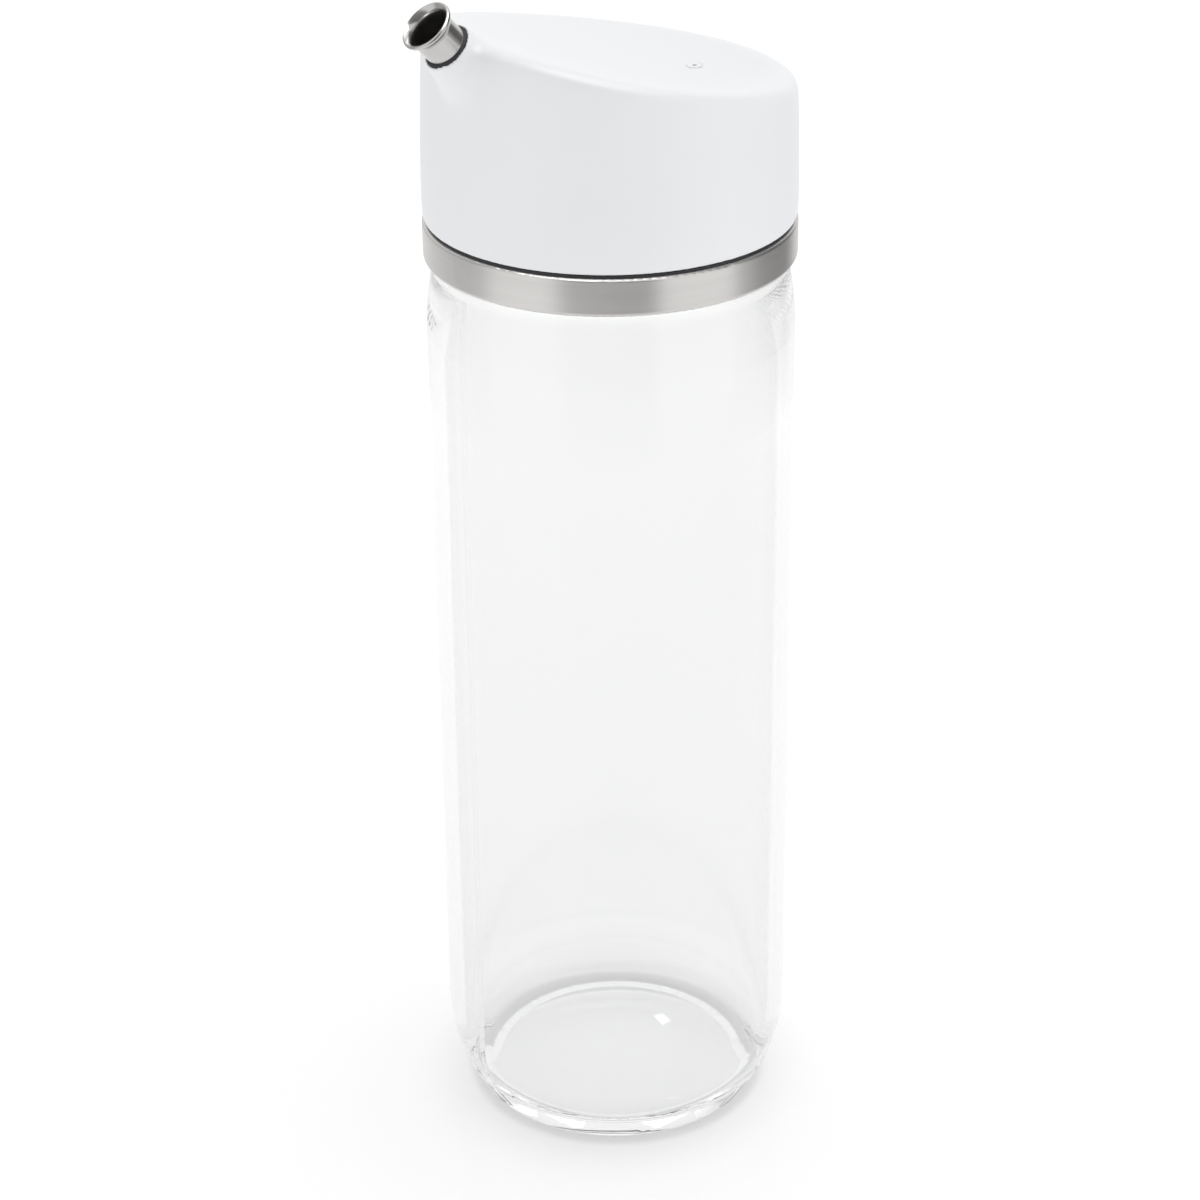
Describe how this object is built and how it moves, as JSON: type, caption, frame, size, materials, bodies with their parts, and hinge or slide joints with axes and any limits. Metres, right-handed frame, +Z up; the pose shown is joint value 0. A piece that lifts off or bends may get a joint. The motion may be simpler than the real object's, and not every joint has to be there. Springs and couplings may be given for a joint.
{
  "type": "oil dispenser bottle",
  "caption": "Glass oil bottle with a steel collar and a screw-on white pouring cap with a slanted dished top and a flared steel spout.",
  "frame": {"origin": "on the table, at the centre of the glass foot", "axes": "+Z up along the bottle's axis, +X towards the spout"},
  "size_m": [0.0719, 0.0644, 0.2166],
  "materials": {
    "clear_glass": "clear, fire polished",
    "brushed_steel": "fine brushing round the band",
    "polished_steel": "satin polished stainless steel",
    "white_shell_plastic": "fine satin moulding",
    "white_liner_plastic": "plain satin moulding",
    "dark_silicone": "matte rubber",
    "clear_silicone": "milky translucent rubber"
  },
  "bodies": {
    "bottle": {"glass_bottle": "clear_glass", "shoulder_gasket": "clear_silicone", "neck_sleeve": "white_liner_plastic", "steel_collar": "brushed_steel", "parting_seal": "dark_silicone"},
    "lid_seal": {"lip_gasket": "clear_silicone"},
    "cap": {"cap_liner": "white_liner_plastic", "cap_shell": "white_shell_plastic", "spout_tube": "polished_steel", "spout_seal": "dark_silicone", "pour_duct": "white_liner_plastic", "duct_o_ring": "dark_silicone", "duct_gasket": "dark_silicone", "vent_bush": "white_shell_plastic", "vent_tube": "white_liner_plastic", "vent_valve": "clear_silicone"}
  },
  "joints": [
    {"name": "cap_lift", "type": "slide", "parent": "bottle", "child": "lid_seal", "axis": [0, 0, 1], "range_m": [0, 0.014]},
    {"name": "cap_turn", "type": "hinge", "parent": "lid_seal", "child": "cap", "pos_m": [0, 0, 0.18], "axis": [0, 0, 1], "range_deg": [0, 600]}
  ],
  "couplings": [
    {"joint": "cap_lift", "follows": "cap_turn", "m_per_rad": 0.0013369}
  ]
}
